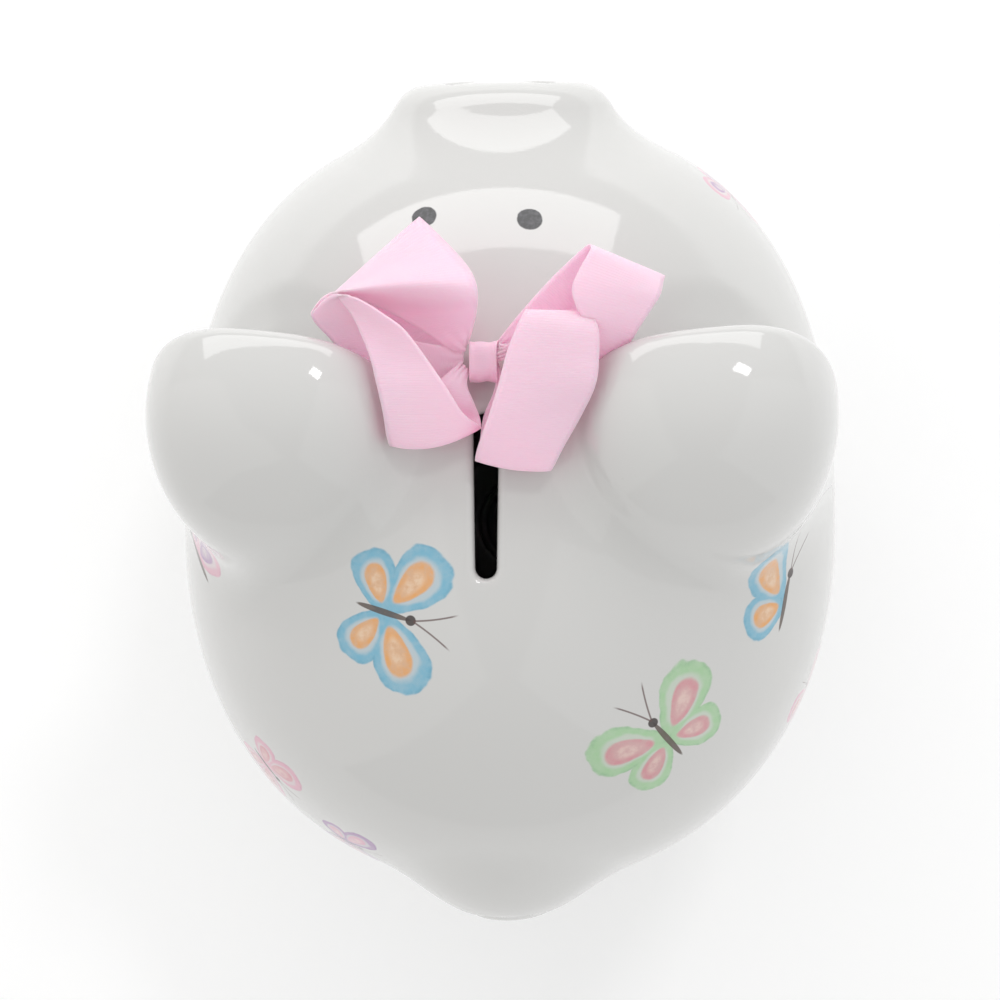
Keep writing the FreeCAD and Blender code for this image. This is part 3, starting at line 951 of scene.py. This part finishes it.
# ---- knot, thread and glue --------------------------------------------------------------
KNOT_THICKNESS = 0.6
KNOT_POWER = 3.2         # squarer than a circle
KNOT_ROUND, KNOT_ACROSS = 57, 15


def knot_grid():
    """The short band round the middle of the bow, waisted and a little creased."""
    middle = (KNOT_LOW + KNOT_HIGH) / 2
    half = (KNOT_HIGH - KNOT_LOW) / 2
    rows = []
    for turn in np.linspace(0.0, 2 * math.pi, KNOT_ROUND):
        row = []
        for t in np.linspace(-1.0, 1.0, KNOT_ACROSS):
            c, s = math.cos(turn), math.sin(turn)
            squareness = 1.0 / (abs(c) ** KNOT_POWER + abs(s) ** KNOT_POWER) ** (1 / KNOT_POWER)
            waist = 1.0 - 0.06 * (1 - t * t) + 0.03 * math.sin(5 * t + 2 * math.sin(turn))
            row.append((middle[0] + half[0] * t * (1.0 - 0.05 * abs(s)),
                        middle[1] + (half[1] - KNOT_THICKNESS / 2) * c * squareness * waist,
                        middle[2] + (half[2] - KNOT_THICKNESS / 2) * s * squareness * waist))
        rows.append(row)
    return np.array(rows)


knot_mesh = cloth_mesh("bow_knot_band", [knot_grid()], KNOT_THICKNESS)
knot_mesh.materials.append(PINK_RIBBON)
knot = add_object("cloth_bow_knot_band", knot_mesh)
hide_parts("bow_knot_band")
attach(knot, "bank")


def tube_mesh(name, centres, radius, sides=8):
    """Round thread with closed ends along a list of points in millimetres."""
    centres = np.array(centres)
    along = np.gradient(centres, axis=0)
    along /= np.linalg.norm(along, axis=1)[:, None]
    side = np.cross(along, np.array([1.0, 0.02, 0.01]))
    side /= np.linalg.norm(side, axis=1)[:, None]
    lift = np.cross(along, side)
    angles = np.arange(sides) * 2 * math.pi / sides
    ring = side[:, None] * np.cos(angles)[None, :, None] + lift[:, None] * np.sin(angles)[None, :, None]
    points = (centres[:, None] + radius * ring).reshape(-1, 3)
    faces = []
    for i in range(len(centres) - 1):
        for j in range(sides):
            k = (j + 1) % sides
            faces.append((i * sides + j, i * sides + k, (i + 1) * sides + k, (i + 1) * sides + j))
    faces.append(tuple(reversed(range(sides))))
    faces.append(tuple((len(centres) - 1) * sides + j for j in range(sides)))
    mesh = bpy.data.meshes.new(name)
    mesh.from_pydata((points * MM).tolist(), [], faces)
    mesh.shade_smooth()
    return mesh


THREAD_RADIUS = 0.2
WINDINGS = 3.0
WINDING_PITCH = 0.42
WINDING_POINTS = 145
THREAD_LOW, THREAD_HIGH = box_mm("bow_tie_thread")
thread_middle = (THREAD_LOW + THREAD_HIGH) / 2
thread_half = (THREAD_HIGH - THREAD_LOW) / 2
winding = []
for turn in np.linspace(0.0, WINDINGS, WINDING_POINTS):
    c, s = math.cos(2 * math.pi * turn), math.sin(2 * math.pi * turn)
    winding.append((thread_middle[0] + (turn - WINDINGS / 2) * WINDING_PITCH,
                    thread_middle[1] + (thread_half[1] - 0.25) * c,
                    thread_middle[2] + (thread_half[2] - 0.25) * s))
thread_mesh = tube_mesh("tie_thread", winding, THREAD_RADIUS)
thread_paint = Paint("polyester_thread", (0.84, 0.62, 0.70), 0.6)
thread_paint.connect(thread_paint.bump(thread_paint.noise(3000.0), 0.00004), "Normal")
thread_mesh.materials.append(thread_paint.material)
thread = add_object("tie_thread", thread_mesh)
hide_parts("bow_tie_thread")
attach(thread, "bank")


def lathe_mesh(name, profile, centre, sides, ripple=0.0):
    """Solid of revolution about Z; profile is (radius, height) in millimetres."""
    points, faces = [], []
    for radius, height in profile:
        for k in range(sides):
            angle = 2 * math.pi * k / sides
            wave = 1.0 + ripple * math.sin(3 * angle + 0.4 * height) * (radius > 0.5)
            points.append((centre[0] + radius * wave * math.cos(angle),
                           centre[1] + radius * wave * math.sin(angle), height))
    for i in range(len(profile) - 1):
        for k in range(sides):
            m = (k + 1) % sides
            faces.append((i * sides + k, i * sides + m, (i + 1) * sides + m, (i + 1) * sides + k))
    mesh = bpy.data.meshes.new(name)
    mesh.from_pydata((np.array(points) * MM).tolist(), [], faces)
    work = bmesh.new()
    work.from_mesh(mesh)
    bmesh.ops.remove_doubles(work, verts=work.verts, dist=1e-6)
    bmesh.ops.recalc_face_normals(work, faces=work.faces)
    work.to_mesh(mesh)
    work.free()
    mesh.shade_smooth()
    return mesh


GLUE_LOW, GLUE_HIGH = box_mm("bow_glue_pad")
glue_centre = (GLUE_LOW + GLUE_HIGH) / 2
GLUE_HEIGHT = 2.6        # over the glaze, and the room kept round it for its ripples
glue_radius = (GLUE_HIGH[0] - GLUE_LOW[0]) / 2 - GLUE_HEIGHT
skin_z = GLUE_HIGH[2] - GLUE_HEIGHT
glue_profile = [(0.0, skin_z), (glue_radius, skin_z), (glue_radius + 0.2, skin_z + 1.2),
                (glue_radius - 0.5, skin_z + 2.0), (glue_radius - 2.0, GLUE_HIGH[2]), (0.0, GLUE_HIGH[2])]
glue_mesh = lathe_mesh("glue", glue_profile, glue_centre, 40, 0.05)
# The glue's pinkish grey is painted shade under the knot, with pink light thrown from the bow.
glue_paint = Paint("hot_glue_painted_shade", (0.74, 0.62, 0.62), 0.45)
glue_paint.connect(glue_paint.bump(glue_paint.noise(400.0), 0.0002, 0.5), "Normal")
glue_mesh.materials.append(glue_paint.material)
glue = add_object("glue", glue_mesh)
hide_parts("bow_glue_pad")
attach(glue, "bank")

# ---- stopper ------------------------------------------------------------------------------
PLUG_RADIUS = 14.2
FLANGE_RADIUS = 17.4
SEAT_GAP = 0.05
FLANGE_THICKNESS = 2.5
FLANGE_BOTTOM = SEAT_Z - SEAT_GAP - FLANGE_THICKNESS
FLANGE_TOP = SEAT_Z - SEAT_GAP
PLUG_TOP = STOPPER_HIGH[2]
TAB_LENGTH = 13.0
TAB_THICKNESS = 3.2
TAB_ROUNDING = 0.8
TAB_OVERLAP = 0.6        # up into the flange
stopper_profile = [
    (0.0, FLANGE_BOTTOM), (12.0, FLANGE_BOTTOM), (12.4, FLANGE_BOTTOM + 0.25), (12.8, FLANGE_BOTTOM),
    (FLANGE_RADIUS - 0.9, FLANGE_BOTTOM), (FLANGE_RADIUS - 0.2, FLANGE_BOTTOM + 0.3),
    (FLANGE_RADIUS, FLANGE_BOTTOM + 1.0), (FLANGE_RADIUS, FLANGE_TOP - 0.6),
    (FLANGE_RADIUS - 0.5, FLANGE_TOP), (PLUG_RADIUS - 0.5, FLANGE_TOP),
    (PLUG_RADIUS - 0.7, FLANGE_TOP + 1.2),
    (PLUG_RADIUS, FLANGE_TOP + 2.0), (PLUG_RADIUS, PLUG_TOP - 1.6), (PLUG_RADIUS - 0.5, PLUG_TOP - 0.3),
    (PLUG_RADIUS - 1.1, PLUG_TOP), (PLUG_RADIUS - 2.0, PLUG_TOP), (PLUG_RADIUS - 2.3, PLUG_TOP - 0.5),
    (PLUG_RADIUS - 2.5, FLANGE_TOP + 0.6), (PLUG_RADIUS - 3.3, FLANGE_TOP - 0.1), (0.0, FLANGE_TOP - 0.1)]
stopper_centre = (STOPPER_LOW + STOPPER_HIGH) / 2
stopper_mesh = lathe_mesh("stopper", stopper_profile, stopper_centre, 96)


def add_tab(mesh):
    """Rounded finger tab under the flange, part of the same moulding."""
    work = bmesh.new()
    bmesh.ops.create_cube(work, size=1.0)
    depth = FLANGE_BOTTOM - STOPPER_LOW[2] + TAB_OVERLAP
    for v in work.verts:
        v.co.x = v.co.x * TAB_LENGTH + stopper_centre[0]
        v.co.y = v.co.y * TAB_THICKNESS + stopper_centre[1]
        v.co.z = v.co.z * depth + STOPPER_LOW[2] + depth / 2
        v.co *= MM
    bmesh.ops.bevel(work, geom=list(work.edges), offset=TAB_ROUNDING * MM, segments=3, affect="EDGES",
                    profile=0.5)
    work.from_mesh(mesh)
    work.to_mesh(mesh)
    work.free()


add_tab(stopper_mesh)
stopper_mesh.shade_smooth()
rubber = Paint("milky_rubber", (0.62, 0.61, 0.58), 0.5)
rubber_tint = rubber.mix(rubber.noise(120.0), (0.58, 0.57, 0.54), (0.66, 0.65, 0.61))
rubber.connect(rubber_tint, "Base Color")
rubber.connect(rubber.noise(300.0).fade(0.2, 0.8) * 0.15 + 0.42, "Roughness")
rubber.connect(rubber.bump(rubber.noise(2500.0), 0.00003, 0.6), "Normal")
stopper_mesh.materials.append(rubber.material)
stopper = add_object("rubber_stopper", stopper_mesh)
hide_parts("stopper")
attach(stopper, "stopper")

# ---- stage and camera ------------------------------------------------------------------
floor_mesh = bpy.data.meshes.new("floor")
floor_mesh.from_pydata([(-3, -3, 0), (3, -3, 0), (3, 3, 0), (-3, 3, 0)], [], [(0, 1, 2, 3)])
floor = add_object("floor", floor_mesh)
paper = bpy.data.materials.new("paper")
paper.use_nodes = True
paper_bsdf = paper.node_tree.nodes["Principled BSDF"]
paper_bsdf.inputs["Base Color"].default_value = (0.94, 0.94, 0.94, 1)
paper_bsdf.inputs["Emission Color"].default_value = (1, 1, 1, 1)
paper_bsdf.inputs["Emission Strength"].default_value = 0.10
paper_bsdf.inputs["Roughness"].default_value = 0.9
floor_mesh.materials.append(paper)

# The camera looks almost straight down, with the snout at the top of the picture.
CAMERA_DISTANCE = 0.575
CAMERA_TILT = math.radians(4.4)
camera_data = bpy.data.cameras.new("camera")
camera = bpy.data.objects.new("camera", camera_data)
bpy.context.scene.collection.objects.link(camera)
aim = Vector((0.0028, 0.0, 0.095))
offset = Vector((-math.sin(CAMERA_TILT), 0.0, math.cos(CAMERA_TILT))) * CAMERA_DISTANCE
camera.location = aim + offset
forward = -offset.normalized()
up = Vector((0, -1, 0))
right = forward.cross(up).normalized()
camera.matrix_world = Matrix((right, right.cross(forward), -forward)).transposed().to_4x4()
camera.matrix_world.translation = aim + offset
camera_data.sensor_width = 36.0
camera_data.lens = 73.7
bpy.context.scene.camera = camera


def area_light(name, place, target, size, power, colour=(1, 1, 1)):
    """Softbox at a place, turned to a target."""
    data = bpy.data.lights.new(name, "AREA")
    data.shape = "RECTANGLE"
    data.size, data.size_y = size
    data.energy = power
    data.color = colour
    lamp = bpy.data.objects.new(name, data)
    bpy.context.scene.collection.objects.link(lamp)
    lamp.location = place
    direction = Vector(target) - Vector(place)
    lamp.rotation_euler = direction.to_track_quat("-Z", "Y").to_euler()


area_light("front_softbox", (0.12, -1.2, 0.63), (0, 0, 0.12), (1.8, 0.6), 7.5)
area_light("top_softbox", (-0.42, -0.75, 1.2), (0, 0, 0.12), (0.22, 0.16), 1.8)
area_light("side_left", (1.6, 0.5, 1.3), (0, 0, 0.1), (3.2, 3.2), 9.0, (1.0, 0.985, 0.955))
area_light("side_right", (-1.6, 0.5, 1.3), (0, 0, 0.1), (3.2, 3.2), 9.0, (0.97, 0.99, 1.0))
world = bpy.data.worlds.new("world")
bpy.context.scene.world = world
world.use_nodes = True
world.node_tree.nodes["Background"].inputs["Color"].default_value = (1, 1, 1, 1)
world.node_tree.nodes["Background"].inputs["Strength"].default_value = 0.67
bpy.context.scene.view_settings.view_transform = "Standard"
